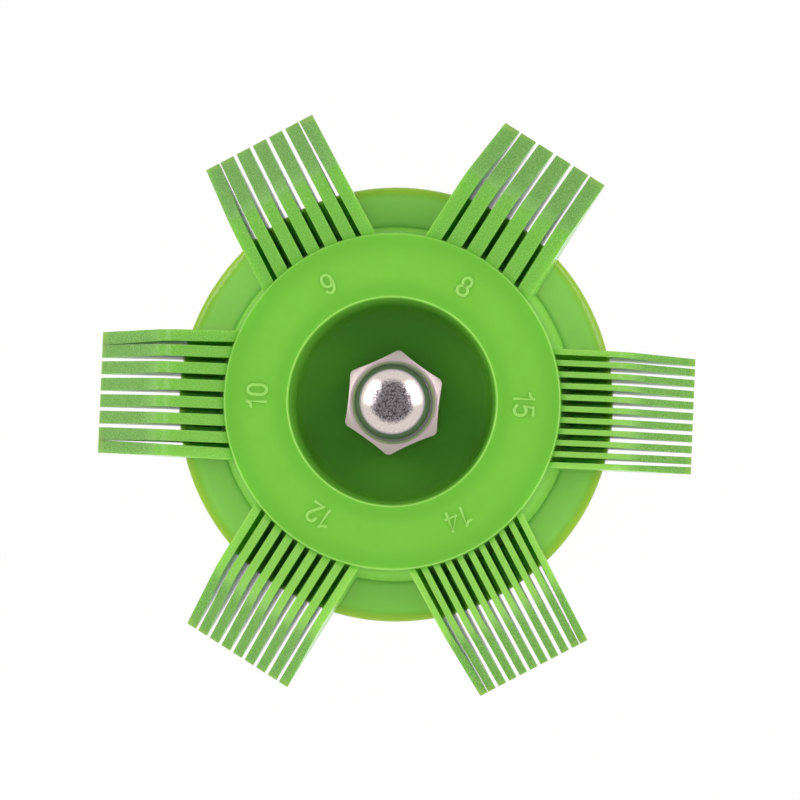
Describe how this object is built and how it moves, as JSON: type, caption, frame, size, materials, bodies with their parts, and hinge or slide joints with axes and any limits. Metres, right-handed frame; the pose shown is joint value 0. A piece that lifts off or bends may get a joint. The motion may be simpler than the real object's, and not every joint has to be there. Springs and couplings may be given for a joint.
{
  "type": "air conditioner fin comb",
  "caption": "Green moulded comb wheel whose blade heads straighten heat exchanger fins of different pitches, clamped to a palm knob with a round guard disc by a bolt and a cap nut.",
  "frame": {"origin": "centre of the flat base of the palm knob, on the axis of the bolt", "axes": "+Z along the bolt towards the cap nut, +X along the head for 15 fins per inch"},
  "size_m": [0.0914, 0.0884, 0.0572],
  "materials": {
    "comb_green": "satin moulded",
    "knob_green": "glossy moulded",
    "zinc_steel": "zinc plated",
    "nickel": "bright nickel plate"
  },
  "bodies": {
    "root": {"comb_wheel": "comb_green", "palm_knob": "knob_green", "through_bolt": "zinc_steel", "cap_nut": "nickel"}
  },
  "joints": []
}
